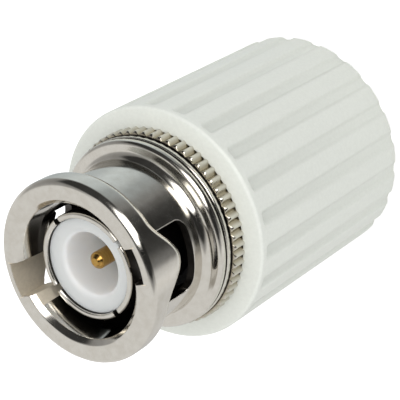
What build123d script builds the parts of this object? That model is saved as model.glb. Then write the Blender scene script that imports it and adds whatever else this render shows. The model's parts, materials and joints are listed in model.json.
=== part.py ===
"""Coaxial terminator: a bayonet plug with its load resistor inside a ribbed moulded cover.

Millimetres, +Z up. The origin is the centre of the cover's flat rear end, on which the part stands,
and the plug's mating end points along +Z. The two entry notches for the socket's studs lie on X.
"""

import os
from math import cos, pi, radians, sin

from build123d import *

os.makedirs("parts", exist_ok=True)

# Clearances
press_gap = 0.02
slip_gap = 0.05
washer_gap = 0.1
solder_gap = 0.01

# Lengths along the axis, from the rear face to the mating face
cover_floor = 2.0
floor_gap = 3.0
ground_plug_height = 1.5
rear_lead_length = 1.0
rod_length = 4.8
cap_wall = 0.18
front_lead_length = 1.9
pin_cup_length = 2.4
pin_collar_height = 1.2
insulator_seat_length = 2.8
mating_depth = 9.38

# Coupling sleeve: bore, collar and the radii that grow outwards from the bore
bore_radius = 5.1
lead_in_width = 0.75
lead_in_depth = 0.7
lip_width = 1.2
chamber_step = 0.55
neck_wall = 0.63
rim_overhang = 1.0
flange_overhang = 1.37
ring_groove_depth = 0.2
ring_land_step = 0.05
knurl_step = 0.35
skirt_wall = 1.7

# Coupling sleeve: depths below the mating face, and heights
collar_height = 2.78
rim_height = 2.13
rim_edge_chamfer = 0.32
rim_rear_edge = 0.15
chamber_depth = 8.08
flange_depth = 7.66
flange_edge_chamfer = 0.28
flare_facet_angle = 45.0
flange_rim_height = 0.4
ring_groove_height = 0.14
ring_land_height = 0.44
knurl_depth = 0.28
knurl_count = 64
knurl_chamfer = 0.3
skirt_length = 7.7
lip_height = 0.8

# Bayonet: entry notches, ramps with a detent each, and the windows behind them
stud_radius = 1.0
notch_width = 2.7
notch_depth = 1.4
ramp_start_angle = -18.0
ramp_end_angle = -49.0
ramp_lift = 0.7
detent_angle = -58.0
stop_angle = -70.0
stop_end_angle = -76.0
stop_drop = 1.6
window_angle = -13.2
window_width = 5.7
window_depth = 6.23
window_corner = 0.9
lobe_angle = -5.5
lobe_half_width = 3.4
lobe_drop = 1.38

# Cover: one moulding, ribbed outside, with a stepped bore that takes the knurled skirt
knurl_exposed = 1.22
cover_wall = 1.56
cover_rear_wall = 2.38
cover_front_chamfer = 0.45
cover_rear_chamfer = 0.4
cover_mouth_chamfer = 0.08
rib_count = 22
rib_groove_width = 1.12
rib_groove_floor = 0.95
rib_groove_depth = 0.3
rib_groove_setback = 0.53
rib_phase = -5.1

# Plug body and what holds it in the sleeve
body_flange_height = 1.5
body_chamfer = 0.2
insulator_shoulder = 0.78
chamber_shoulder = 0.2
thrust_washer_height = 0.35
wave_washer_thickness = 0.2
wave_count = 3
spring_travel = 0.5
rear_washer_height = 0.35
clip_height = 0.4
clip_groove_depth = 0.4
clip_overhang = 0.65
clip_gap_angle = 50.0

# Gasket, outer contact and insulator
gasket_height = 0.7
barrel_room = 0.84
contact_wall = 0.46
contact_swell = 0.1
contact_swell_length = 1.4
contact_recess = 1.28
contact_tip_chamfer = 0.15
contact_seat_depth = 0.9
finger_slot_width = 0.5
finger_slot_length = 5.6
finger_slot_phase = 20.5
finger_count = 4
insulator_wall = 1.28
insulator_recess = 0.3
insulator_bore_depth = 6.8
insulator_bore_lip = 0.35

# Centre pin
pin_radius = 0.675
pin_tip_recess = 2.28
pin_nose_length = 0.45
pin_nose_flat = 0.2
pin_nose_bevel = 0.15
pin_step_recess = 6.88
pin_shoulder = 0.375
pin_collar_step = 0.25
cup_hole_depth = 2.0

# Film resistor from the pin's cup to the ground plug
rod_radius = 1.0
coat_thickness = 0.16
cap_length = 1.1
lead_radius = 0.3
lead_seat = 0.12
solder_fill = 0.15
tube_wall = 0.2
tube_overhang = 0.5
ground_plug_shoulder = 0.25
solder_dome = 0.35
solder_spread = 0.6

# Planes that follow from the lengths above, from the rear forwards
body_rear = cover_floor + floor_gap
ground_plug_front = body_rear + ground_plug_height
cap_rear_end = ground_plug_front + rear_lead_length
rod_rear = cap_rear_end + cap_wall + press_gap
rod_front = rod_rear + rod_length
cap_front_end = rod_front + press_gap + cap_wall
pin_rear = cap_front_end + front_lead_length
resistor_chamber_front = pin_rear - press_gap
pin_collar_rear = pin_rear + pin_cup_length
pin_collar_front = pin_collar_rear + pin_collar_height
gasket_seat = pin_collar_front + insulator_seat_length
overall_length = gasket_seat + mating_depth
lead_front_end = pin_rear + cup_hole_depth - lead_seat

# Planes of the plug, from the gasket's seat rearwards and from the mating face
body_flange_rear = gasket_seat - body_flange_height
thrust_rear = body_flange_rear - thrust_washer_height
wave_height = wave_washer_thickness + spring_travel + slip_gap
lip_front = thrust_rear - wave_height
lip_rear = lip_front - lip_height
rear_washer_rear = lip_rear - rear_washer_height
clip_rear = rear_washer_rear - clip_height
contact_root = gasket_seat - contact_seat_depth
contact_front = overall_length - contact_recess
insulator_front = contact_front - insulator_recess
insulator_bore_floor = insulator_front - insulator_bore_depth
pin_tip = overall_length - pin_tip_recess
pin_step = overall_length - pin_step_recess

# Planes of the sleeve and the cover, from the mating face rearwards
collar_rear = overall_length - collar_height
rim_rear = overall_length - rim_height
window_rear = overall_length - window_depth
flange_front = overall_length - flange_depth
flange_rim_front = flange_front - flange_edge_chamfer
flange_rim_rear = flange_rim_front - flange_rim_height
ring_land_front = flange_rim_rear - ring_groove_height
ring_land_rear = ring_land_front - ring_land_height
knurl_front = ring_land_rear - ring_groove_height
skirt_rear = knurl_front - skirt_length
cover_length = knurl_front - knurl_exposed

# Radii that follow from the bore
lip_bore_radius = bore_radius - lip_width
chamber_radius = bore_radius + chamber_step
channel_radius = bore_radius + notch_depth
neck_radius = chamber_radius + neck_wall
rim_radius = neck_radius + rim_overhang
flange_radius = neck_radius + flange_overhang
flare_radius = flange_overhang - flange_edge_chamfer
flare_step = flare_radius * (1 - cos(radians(flare_facet_angle)))
ring_groove_radius = flange_radius - ring_groove_depth
ring_land_radius = flange_radius + ring_land_step
knurl_radius = flange_radius + knurl_step
skirt_bore_radius = knurl_radius - skirt_wall
cover_radius = knurl_radius + press_gap + cover_wall
cover_chamber_radius = cover_radius - cover_rear_wall
washer_outer_radius = bore_radius - washer_gap
shank_radius = lip_bore_radius - slip_gap
clip_groove_radius = shank_radius - clip_groove_depth
clip_outer_radius = shank_radius + clip_overhang
gasket_outer_radius = washer_outer_radius - body_chamfer
contact_tip_radius = bore_radius - barrel_room
contact_root_radius = contact_tip_radius - contact_swell
contact_inner_radius = contact_tip_radius - contact_wall
insulator_radius = contact_inner_radius - press_gap
insulator_bore_radius = insulator_radius - insulator_wall
body_bore_radius = insulator_radius - insulator_shoulder
resistor_chamber_radius = body_bore_radius - chamber_shoulder
ground_plug_radius = resistor_chamber_radius + ground_plug_shoulder

# Radii that follow from the pin and the resistor
pin_shank_radius = pin_radius + pin_shoulder
pin_collar_radius = pin_shank_radius + pin_collar_step
cup_hole_radius = lead_radius + solder_fill
ground_hole_radius = lead_radius + solder_fill
coat_radius = rod_radius + coat_thickness
cap_radius = rod_radius + press_gap + cap_wall


def radial_plane(angle):
    """Plane through the axis whose normal points outwards at the angle; its y axis is +Z."""
    outward = (cos(radians(angle)), sin(radians(angle)), 0)
    along = (-sin(radians(angle)), cos(radians(angle)), 0)
    return Plane(origin=(0, 0, 0), x_dir=along, z_dir=outward)


def knurl_points(outer, depth, count):
    """Corners of a straight knurl's section, crest and root in turn."""
    step = pi / count
    radii = (outer, outer - depth)
    return [(radii[i % 2] * cos(i * step), radii[i % 2] * sin(i * step)) for i in range(2 * count)]


# Ribbed cover, with a seat for the sleeve's skirt and a plain chamber behind it
with BuildPart() as cover:
    with BuildSketch(Plane.XZ):
        with BuildLine():
            Polyline(
                (0, 0),
                (cover_radius, 0),
                (cover_radius, cover_length),
                (knurl_radius + press_gap, cover_length),
                (knurl_radius + press_gap, skirt_rear - press_gap),
                (cover_chamber_radius, skirt_rear - press_gap),
                (cover_chamber_radius, cover_floor),
                (0, cover_floor),
                close=True,
            )
        make_face()
    revolve(axis=Axis.Z)
    outer_edges = cover.edges().filter_by(GeomType.CIRCLE).group_by(lambda e: e.radius)[-1]
    chamfer(outer_edges.sort_by(Axis.Z)[-1], cover_front_chamfer)
    rear_edges = cover.edges().filter_by(GeomType.CIRCLE).filter_by(lambda e: e.center().Z < press_gap)
    chamfer(rear_edges, cover_rear_chamfer)
    mouth = cover.faces().sort_by(Axis.Z)[-1].inner_wires()[0].edges()
    chamfer(mouth, cover_mouth_chamfer)
    with BuildSketch(Plane.XY):
        with PolarLocations(cover_radius, rib_count, start_angle=rib_phase):
            Polygon(
                (-rib_groove_depth, -rib_groove_floor / 2),
                (rib_groove_depth, rib_groove_floor / 2 - rib_groove_width),
                (rib_groove_depth, rib_groove_width - rib_groove_floor / 2),
                (-rib_groove_depth, rib_groove_floor / 2),
                align=None,
            )
    extrude(amount=cover_length - rib_groove_setback, mode=Mode.SUBTRACT)
cover.part.label = "cover"
export_step(cover.part, "parts/cover.step")

# Bayonet ramp: a wedge on the collar's rear face that climbs to a detent and ends in a stop
with BuildPart() as ramp:
    ramp_plane = radial_plane(detent_angle)

    def across(angle):
        """Distance across the ramp's plane at the chamber's wall."""
        return chamber_radius * sin(radians(angle - detent_angle))

    with BuildSketch(ramp_plane):
        with BuildLine():
            Polyline(
                (across(ramp_start_angle), collar_rear + slip_gap),
                (across(ramp_start_angle), collar_rear),
                (across(ramp_end_angle), collar_rear - ramp_lift),
                (across(stop_angle), collar_rear - ramp_lift),
                (across(stop_angle), collar_rear - ramp_lift - stop_drop),
                (across(stop_end_angle), collar_rear - ramp_lift - stop_drop),
                (across(stop_end_angle), collar_rear + slip_gap),
                close=True,
            )
        make_face()
        with Locations((0, collar_rear - ramp_lift - stud_radius / 2)):
            Circle(stud_radius + slip_gap, mode=Mode.SUBTRACT)
    extrude(amount=neck_radius)
    with BuildSketch(Plane.XY.offset(skirt_rear)):
        Circle(chamber_radius + slip_gap)
        Circle(bore_radius + slip_gap, mode=Mode.SUBTRACT)
    extrude(amount=overall_length, mode=Mode.INTERSECT)

# Lobe: a tongue of the rim's wall that hangs over the entry channel
with BuildPart() as lobe:
    with BuildSketch(radial_plane(lobe_angle)):
        with BuildLine():
            peak = (0, rim_rear - lobe_drop)
            left = (-lobe_half_width, rim_rear + rim_rear_edge)
            right = (lobe_half_width, rim_rear + rim_rear_edge)
            Spline(left, peak, right, tangents=((1, 0), (1, 0), (1, 0)))
            Line(right, left)
        make_face()
    extrude(amount=2 * rim_radius)
    with BuildSketch(Plane.XY.offset(skirt_rear)):
        Circle(rim_radius)
        Circle(neck_radius - slip_gap, mode=Mode.SUBTRACT)
    extrude(amount=overall_length, mode=Mode.INTERSECT)

# Coupling sleeve: the knurl first, then the turned body, windows, rim, ramps and notches
with BuildPart() as coupling_sleeve:
    with BuildSketch(Plane.XY.offset(skirt_rear)):
        Polygon(*knurl_points(knurl_radius, knurl_depth, knurl_count), align=None)
        Circle(skirt_bore_radius, mode=Mode.SUBTRACT)
    extrude(amount=skirt_length)
    with BuildSketch(Plane.XZ):
        with BuildLine():
            Polyline(
                (0, skirt_rear),
                (knurl_radius, skirt_rear),
                (knurl_radius, knurl_front - knurl_chamfer),
                (knurl_radius - knurl_chamfer, knurl_front),
                (0, knurl_front),
                close=True,
            )
        make_face()
    revolve(axis=Axis.Z, mode=Mode.INTERSECT)
    with BuildSketch(Plane.XZ):
        with BuildLine():
            Polyline(
                (lip_bore_radius, lip_rear),
                (skirt_bore_radius, lip_rear),
                (skirt_bore_radius, knurl_front - knurl_chamfer),
                (ring_groove_radius, knurl_front - knurl_chamfer),
                (ring_groove_radius, ring_land_rear),
                (ring_land_radius, ring_land_rear),
                (ring_land_radius, ring_land_front),
                (ring_groove_radius, ring_land_front),
                (ring_groove_radius, flange_rim_rear),
                (flange_radius, flange_rim_rear),
                (flange_radius, flange_rim_front),
                (neck_radius + flare_radius, flange_front),
                (neck_radius + flare_step, flange_front + flare_step),
                (neck_radius, flange_front + flare_radius),
                (neck_radius, overall_length - lead_in_depth),
                (bore_radius, overall_length - lead_in_depth),
                (bore_radius, collar_rear),
                (chamber_radius, collar_rear),
                (chamber_radius, overall_length - chamber_depth),
                (bore_radius, overall_length - chamber_depth),
                (bore_radius, lip_front),
                (lip_bore_radius, lip_front),
                (lip_bore_radius, lip_rear),
            )
        make_face()
    revolve(axis=Axis.Z)
    for half_turn in (0, 180):
        with BuildSketch(radial_plane(window_angle + half_turn)):
            with BuildLine():
                Polyline(
                    (-window_width / 2, collar_rear),
                    (-window_width / 2, window_rear),
                    (window_width / 2, window_rear),
                    (window_width / 2, collar_rear),
                    close=True,
                )
            make_face()
            fillet(vertices().group_by(Axis.Z)[0], window_corner)
        extrude(amount=rim_radius, mode=Mode.SUBTRACT)
    with BuildSketch(Plane.XZ):
        with BuildLine():
            Polyline(
                (neck_radius - slip_gap, rim_rear),
                (rim_radius - rim_rear_edge, rim_rear),
                (rim_radius, rim_rear + rim_rear_edge),
                (rim_radius, overall_length - rim_edge_chamfer),
                (rim_radius - rim_edge_chamfer, overall_length),
                (bore_radius + lead_in_width, overall_length),
                (bore_radius, overall_length - lead_in_depth),
                (bore_radius, rim_rear),
                close=True,
            )
        make_face()
    revolve(axis=Axis.Z)
    with PolarLocations(0, 2):
        add(ramp.part)
        add(lobe.part)
    with BuildSketch(Plane.XY.offset(window_rear + window_corner)):
        Rectangle(2 * channel_radius, notch_width)
        Circle(channel_radius, mode=Mode.INTERSECT)
        Circle(bore_radius - slip_gap, mode=Mode.SUBTRACT)
    extrude(amount=overall_length, mode=Mode.SUBTRACT)
coupling_sleeve.part.label = "coupling_sleeve"
export_step(coupling_sleeve.part, "parts/coupling_sleeve.step")

# Plug body: a turned shank and flange, held by a clip behind the sleeve's inner lip
with BuildPart() as plug_body:
    with BuildSketch(Plane.XZ):
        with BuildLine():
            Polyline(
                (ground_plug_radius + press_gap, body_rear),
                (shank_radius, body_rear),
                (shank_radius, clip_rear),
                (clip_groove_radius, clip_rear),
                (clip_groove_radius, rear_washer_rear),
                (shank_radius, rear_washer_rear),
                (shank_radius, body_flange_rear),
                (washer_outer_radius, body_flange_rear),
                (washer_outer_radius, gasket_seat - body_chamfer),
                (washer_outer_radius - body_chamfer, gasket_seat),
                (contact_root_radius + press_gap, gasket_seat),
                (contact_root_radius + press_gap, contact_root),
                (body_bore_radius, contact_root),
                (body_bore_radius, resistor_chamber_front),
                (resistor_chamber_radius, resistor_chamber_front),
                (resistor_chamber_radius, ground_plug_front + press_gap),
                (ground_plug_radius + press_gap, ground_plug_front + press_gap),
                close=True,
            )
        make_face()
    revolve(axis=Axis.Z)
plug_body.part.label = "plug_body"
export_step(plug_body.part, "parts/plug_body.step")

# Thrust washer between the body's flange and the wave washer
with BuildPart() as thrust_washer:
    with BuildSketch(Plane.XY.offset(thrust_rear)):
        Circle(washer_outer_radius)
        Circle(lip_bore_radius, mode=Mode.SUBTRACT)
    extrude(amount=thrust_washer_height)
thrust_washer.part.label = "thrust_washer"
export_step(thrust_washer.part, "parts/thrust_washer.step")

# Wave washer: a flat ring whose height swings as it goes round, lofted as two mirrored halves
wave_swing = (wave_height - wave_washer_thickness) / 2
wave_mid = lip_front + wave_height / 2
wave_sections = 6 * wave_count
with BuildPart() as wave_washer:
    for i in range(wave_sections // 2 + 1):
        turn = 360 * i / wave_sections
        lift = wave_mid + wave_swing * cos(radians(wave_count * turn))
        section_plane = Plane(
            origin=(0, 0, lift),
            x_dir=(cos(radians(turn)), sin(radians(turn)), 0),
            z_dir=(-sin(radians(turn)), cos(radians(turn)), 0),
        )
        with BuildSketch(section_plane):
            with Locations(((washer_outer_radius + lip_bore_radius) / 2, 0)):
                Rectangle(washer_outer_radius - lip_bore_radius, wave_washer_thickness)
    loft()
    mirror(about=Plane.XZ)
wave_washer.part.label = "wave_washer"
export_step(wave_washer.part, "parts/wave_washer.step")

# Flat washer behind the lip
with BuildPart() as rear_washer:
    with BuildSketch(Plane.XY.offset(rear_washer_rear)):
        Circle(washer_outer_radius)
        Circle(lip_bore_radius, mode=Mode.SUBTRACT)
    extrude(amount=rear_washer_height)
rear_washer.part.label = "rear_washer"
export_step(rear_washer.part, "parts/rear_washer.step")

# Open retaining ring in the shank's groove
with BuildPart() as retaining_ring:
    with BuildSketch(Plane.XY.offset(clip_rear)):
        Circle(clip_outer_radius)
        Circle(clip_groove_radius + press_gap, mode=Mode.SUBTRACT)
        with BuildLine():
            reach = 2 * clip_outer_radius
            half_gap = radians(clip_gap_angle / 2)
            Polyline(
                (0, 0),
                (-reach * cos(half_gap), reach * sin(half_gap)),
                (-reach * cos(half_gap), -reach * sin(half_gap)),
                close=True,
            )
        make_face(mode=Mode.SUBTRACT)
    extrude(amount=clip_height)
retaining_ring.part.label = "retaining_ring"
export_step(retaining_ring.part, "parts/retaining_ring.step")

# Gasket on the body's flange, where the socket's front edge lands
with BuildPart() as gasket:
    with BuildSketch(Plane.XY.offset(gasket_seat)):
        Circle(gasket_outer_radius)
        Circle(contact_root_radius + slip_gap, mode=Mode.SUBTRACT)
    extrude(amount=gasket_height)
gasket.part.label = "gasket"
export_step(gasket.part, "parts/gasket.step")

# Outer contact: a thin tube with a swelled tip, slit into spring fingers
with BuildPart() as outer_contact:
    tip_swell = contact_front - contact_swell_length
    with BuildSketch(Plane.XZ):
        with BuildLine():
            Polyline(
                (contact_inner_radius, contact_front - contact_tip_chamfer),
                (contact_inner_radius, contact_root),
                (contact_root_radius, contact_root),
                (contact_root_radius, contact_front - finger_slot_length),
                (contact_tip_radius, tip_swell),
                (contact_tip_radius, contact_front - contact_tip_chamfer),
                (contact_tip_radius - contact_tip_chamfer, contact_front),
                (contact_inner_radius + contact_tip_chamfer, contact_front),
                close=True,
            )
        make_face()
    revolve(axis=Axis.Z)
    with BuildSketch(Plane.XY.offset(contact_front - finger_slot_length)):
        with PolarLocations(contact_inner_radius, finger_count, start_angle=finger_slot_phase):
            Rectangle(contact_inner_radius, finger_slot_width)
    extrude(amount=overall_length, mode=Mode.SUBTRACT)
outer_contact.part.label = "outer_contact"
export_step(outer_contact.part, "parts/outer_contact.step")

# Insulator: stepped bar with a deep front bore round the pin
with BuildPart() as insulator:
    with BuildSketch(Plane.XZ):
        with BuildLine():
            Polyline(
                (pin_collar_radius + press_gap, resistor_chamber_front + press_gap),
                (body_bore_radius - press_gap, resistor_chamber_front + press_gap),
                (body_bore_radius - press_gap, contact_root + press_gap),
                (insulator_radius, contact_root + press_gap),
                (insulator_radius, insulator_front),
                (insulator_bore_radius + insulator_bore_lip, insulator_front),
                (insulator_bore_radius, insulator_front - insulator_bore_lip),
                (insulator_bore_radius, insulator_bore_floor),
                (pin_shank_radius + press_gap, insulator_bore_floor),
                (pin_shank_radius + press_gap, pin_collar_front + press_gap),
                (pin_collar_radius + press_gap, pin_collar_front + press_gap),
                close=True,
            )
        make_face()
    revolve(axis=Axis.Z)
insulator.part.label = "insulator"
export_step(insulator.part, "parts/insulator.step")

# Centre pin: nose with two bevels, contact length, shank, retaining collar and solder cup
with BuildPart() as centre_pin:
    with BuildSketch(Plane.XZ):
        with BuildLine():
            Polyline(
                (pin_radius, pin_tip - pin_nose_length),
                (pin_radius, pin_step),
                (pin_shank_radius, pin_step - (pin_shank_radius - pin_radius)),
                (pin_shank_radius, pin_collar_front),
                (pin_collar_radius, pin_collar_front),
                (pin_collar_radius, pin_collar_rear),
                (pin_shank_radius, pin_collar_rear),
                (pin_shank_radius, pin_rear),
                (cup_hole_radius, pin_rear),
                (cup_hole_radius, pin_rear + cup_hole_depth),
                (0, pin_rear + cup_hole_depth),
                (0, pin_tip),
                (pin_nose_flat, pin_tip),
                (pin_radius - pin_nose_bevel, pin_tip - pin_nose_bevel),
                close=True,
            )
        make_face()
    revolve(axis=Axis.Z)
centre_pin.part.label = "centre_pin"
export_step(centre_pin.part, "parts/centre_pin.step")

# Resistor: lacquered ceramic rod between two pressed caps
with BuildPart() as resistor_body:
    with BuildSketch(Plane.XZ):
        with BuildLine():
            Polyline(
                (0, rod_rear),
                (rod_radius, rod_rear),
                (rod_radius, rod_rear + cap_length),
                (coat_radius, rod_rear + cap_length),
                (coat_radius, rod_front - cap_length),
                (rod_radius, rod_front - cap_length),
                (rod_radius, rod_front),
                (0, rod_front),
                close=True,
            )
        make_face()
    revolve(axis=Axis.Z)
resistor_body.part.label = "resistor_body"
export_step(resistor_body.part, "parts/resistor_body.step")

with BuildPart() as resistor_cap_front:
    with BuildSketch(Plane.XZ):
        with BuildLine():
            Polyline(
                (0, rod_front + press_gap),
                (rod_radius + press_gap, rod_front + press_gap),
                (rod_radius + press_gap, rod_front - cap_length + press_gap),
                (cap_radius, rod_front - cap_length + press_gap),
                (cap_radius, cap_front_end),
                (0, cap_front_end),
                close=True,
            )
        make_face()
    revolve(axis=Axis.Z)
resistor_cap_front.part.label = "resistor_cap_front"
export_step(resistor_cap_front.part, "parts/resistor_cap_front.step")

with BuildPart() as resistor_cap_rear:
    add(resistor_cap_front.part.mirror(Plane.XY.offset((rod_front + rod_rear) / 2)))
resistor_cap_rear.part.label = "resistor_cap_rear"
export_step(resistor_cap_rear.part, "parts/resistor_cap_rear.step")

# Leads, welded to the caps: one into the pin's cup, one through the ground plug
with BuildPart() as lead_front:
    with BuildSketch(Plane.XY.offset(cap_front_end)):
        Circle(lead_radius)
    extrude(amount=lead_front_end - cap_front_end)
lead_front.part.label = "lead_front"
export_step(lead_front.part, "parts/lead_front.step")

with BuildPart() as lead_rear:
    with BuildSketch(Plane.XY.offset(body_rear)):
        Circle(lead_radius)
    extrude(amount=cap_rear_end - body_rear)
lead_rear.part.label = "lead_rear"
export_step(lead_rear.part, "parts/lead_rear.step")

# Insulating tube slipped over the resistor
with BuildPart() as insulating_tube:
    with BuildSketch(Plane.XY.offset(cap_rear_end - tube_overhang)):
        Circle(cap_radius + slip_gap + tube_wall)
        Circle(cap_radius + slip_gap, mode=Mode.SUBTRACT)
    extrude(amount=cap_front_end - cap_rear_end + 2 * tube_overhang)
insulating_tube.part.label = "insulating_tube"
export_step(insulating_tube.part, "parts/insulating_tube.step")

# Ground plug pressed into the body's rear end
with BuildPart() as ground_plug:
    with BuildSketch(Plane.XY.offset(body_rear)):
        Circle(ground_plug_radius)
        Circle(ground_hole_radius, mode=Mode.SUBTRACT)
    extrude(amount=ground_plug_height)
ground_plug.part.label = "ground_plug"
export_step(ground_plug.part, "parts/ground_plug.step")

# Solder in the pin's cup and the coned joint on the ground plug
with BuildPart() as solder_front:
    with BuildSketch(Plane.XY.offset(pin_rear)):
        Circle(cup_hole_radius - solder_gap)
        Circle(lead_radius + solder_gap, mode=Mode.SUBTRACT)
    extrude(amount=cup_hole_depth - 2 * lead_seat)
solder_front.part.label = "solder_front"
export_step(solder_front.part, "parts/solder_front.step")

with BuildPart() as solder_rear:
    with BuildSketch(Plane.XZ):
        with BuildLine():
            Polyline(
                (cup_hole_radius + solder_spread, body_rear),
                (0, body_rear),
                (0, body_rear - solder_dome),
                close=True,
            )
        make_face()
    revolve(axis=Axis.Z)
solder_rear.part.label = "solder_rear"
export_step(solder_rear.part, "parts/solder_rear.step")
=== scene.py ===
"""Dresses the coaxial terminator: nickel, gold, fluoropolymer and moulded cover, in a plain studio.

Metres, +Z up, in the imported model's own frame: the cover's rear end stands on the floor at the
origin and the plug's mating end points up. Shapes are drawn in millimetres and scaled once.
"""

import json
import logging
from dataclasses import dataclass
from enum import Enum
from math import acos, asin, atan2, copysign, cos, degrees, pi, radians, sin, sqrt, tan
from typing import Callable, Optional, Sequence

import bmesh
import bpy
from mathutils import Matrix, Vector


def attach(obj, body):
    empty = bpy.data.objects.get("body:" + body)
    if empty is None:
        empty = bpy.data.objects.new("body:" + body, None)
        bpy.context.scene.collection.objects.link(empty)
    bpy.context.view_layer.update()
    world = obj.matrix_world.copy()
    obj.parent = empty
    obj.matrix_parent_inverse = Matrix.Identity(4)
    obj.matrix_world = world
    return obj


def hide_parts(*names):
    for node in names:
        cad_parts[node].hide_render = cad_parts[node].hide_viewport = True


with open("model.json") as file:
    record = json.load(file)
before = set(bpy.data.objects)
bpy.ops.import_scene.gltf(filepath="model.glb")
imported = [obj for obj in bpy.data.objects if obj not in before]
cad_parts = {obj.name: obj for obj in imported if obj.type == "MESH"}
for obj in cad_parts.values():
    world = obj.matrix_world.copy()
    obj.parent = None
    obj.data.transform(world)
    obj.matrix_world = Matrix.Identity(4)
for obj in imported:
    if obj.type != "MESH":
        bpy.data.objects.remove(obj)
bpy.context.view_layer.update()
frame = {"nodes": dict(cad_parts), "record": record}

log = logging.getLogger("terminator")

MM = 0.001
SHARP_ANGLE = 35
EDGE_SAMPLES = 6
WHITE = (1, 1, 1, 1)
# Points nearer than this are one point, and edges shorter than the second length go, in millimetres
WELD = 1e-5
SLIVER = 1e-6
# Most of an edge that the rounding at one of its ends may take
EDGE_SHARE = 0.49
# A place sunk deeper than this share of a groove lies on another wall of the piece
DEEPEST_SHARE = 1.05
Point =tuple[float, float]
Corner = tuple[float, float, float]
Shape = Callable[[float, float, float], Point]
Chooser = Callable[[Vector, Vector], bool]


def linear(hex_colour: str) -> tuple[float, float, float, float]:
    """Turns an sRGB hex colour into the linear colour that shaders take.

    Args:
        hex_colour: Colour such as "#C8C4BA".

    Returns:
        Linear red, green and blue, and an alpha of 1.
    """
    parts = [int(hex_colour[i:i + 2], 16) / 255 for i in (1, 3, 5)]
    curve = [p / 12.92 if p <= 0.04045 else ((p + 0.055) / 1.055) ** 2.4 for p in parts]
    return (*curve, 1.0)


def smooth(value: float) -> float:
    """Eases a value from 0 to 1, flat at both ends."""
    held = min(max(value, 0.0), 1.0)
    return held * held * (3 - 2 * held)


def add_node(
    tree: bpy.types.NodeTree, kind: str, inputs: Optional[dict] = None, **settings
) -> bpy.types.Node:
    """Adds a node, sets its settings and fills or links its inputs.

    Args:
        tree: Node tree that takes the node.
        kind: Blender's type name of the node.
        inputs: Input name or index to a value, or to an output socket to link from.
        settings: Attributes of the node itself.

    Returns:
        The new node.
    """
    made = tree.nodes.new(kind)
    for name, value in settings.items():
        setattr(made, name, value)
    for key, value in (inputs or {}).items():
        if isinstance(value, bpy.types.NodeSocket):
            tree.links.new(value, made.inputs[key])
        else:
            made.inputs[key].default_value = value
    return made


def blank_material(name: str) -> tuple[bpy.types.Material, bpy.types.NodeTree]:
    """Makes an empty node material.

    Args:
        name: The material's name.

    Returns:
        The material and its node tree.
    """
    material = bpy.data.materials.new(name)
    material.use_nodes = True
    material.node_tree.nodes.clear()
    return material, material.node_tree


# Outlines and meshes


class Change(Enum):
    """What a tool does to a piece."""

    CUT = "DIFFERENCE"
    JOIN = "UNION"


def soften(corners: Sequence[Corner], steps: int = 7) -> list[Point]:
    """Rounds the corners of a closed outline.

    Args:
        corners: Radius, height and rounding of each corner, in order round the outline.
        steps: Pieces that each rounding is made of.

    Returns:
        Radius and height of each point of the rounded outline.
    """
    points: list[Point] = []
    for i, (r, z, rounding) in enumerate(corners):
        if not rounding:
            points.append((r, z))
            continue
        here = Vector((r, z))
        back = Vector(corners[i - 1][:2]) - here
        ahead = Vector(corners[(i + 1) % len(corners)][:2]) - here
        back_way, ahead_way = back.normalized(), ahead.normalized()
        half = acos(max(-1.0, min(1.0, back_way.dot(ahead_way)))) / 2
        reach = min(rounding / tan(half), EDGE_SHARE * back.length, EDGE_SHARE * ahead.length)
        radius = reach * tan(half)
        centre = here + (back_way + ahead_way).normalized() * (radius / sin(half))
        first = here + back_way * reach - centre
        last = here + ahead_way * reach - centre
        start = atan2(first.y, first.x)
        sweep = (atan2(last.y, last.x) - start + pi) % (2 * pi) - pi
        for step in range(steps + 1):
            turn = start + sweep * step / steps
            points.append((centre.x + radius * cos(turn), centre.y + radius * sin(turn)))
    return points


def to_object(name: str, mesh: bpy.types.Mesh) -> bpy.types.Object:
    """Puts a mesh into the scene as an object."""
    made = bpy.data.objects.new(name, mesh)
    bpy.context.scene.collection.objects.link(made)
    return made


def revolve(
    name: str, outline: Sequence[Point], angles: Sequence[float], shape: Optional[Shape] = None
) -> bpy.types.Object:
    """Turns a closed outline about Z, in millimetres.

    Args:
        name: The object's name.
        outline: Radius and height of each point.
        angles: Degrees at which the outline is set, in growing order within one turn.
        shape: Changes radius and height by radius, height and angle.

    Returns:
        A closed mesh object.
    """
    count = len(outline)
    vertices = []
    for angle in angles:
        turn = radians(angle)
        for r, z in outline:
            new_r, new_z = shape(r, z, angle) if shape else (r, z)
            vertices.append((new_r * cos(turn), new_r * sin(turn), new_z))
    faces = []
    for i in range(len(angles)):
        this, after = i * count, (i + 1) % len(angles) * count
        for j in range(count):
            k = (j + 1) % count
            faces.append((this + j, after + j, after + k, this + k))
    mesh = bpy.data.meshes.new(name)
    mesh.from_pydata(vertices, [], faces)
    clean = bmesh.new()
    clean.from_mesh(mesh)
    bmesh.ops.remove_doubles(clean, verts=clean.verts, dist=WELD)
    bmesh.ops.dissolve_degenerate(clean, edges=clean.edges, dist=SLIVER)
    bmesh.ops.recalc_face_normals(clean, faces=clean.faces)
    clean.to_mesh(mesh)
    clean.free()
    return to_object(name, mesh)


def even_turn(count: int) -> list[float]:
    """Lists evenly spread degrees round one turn."""
    return [360 * i / count for i in range(count)]


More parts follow.
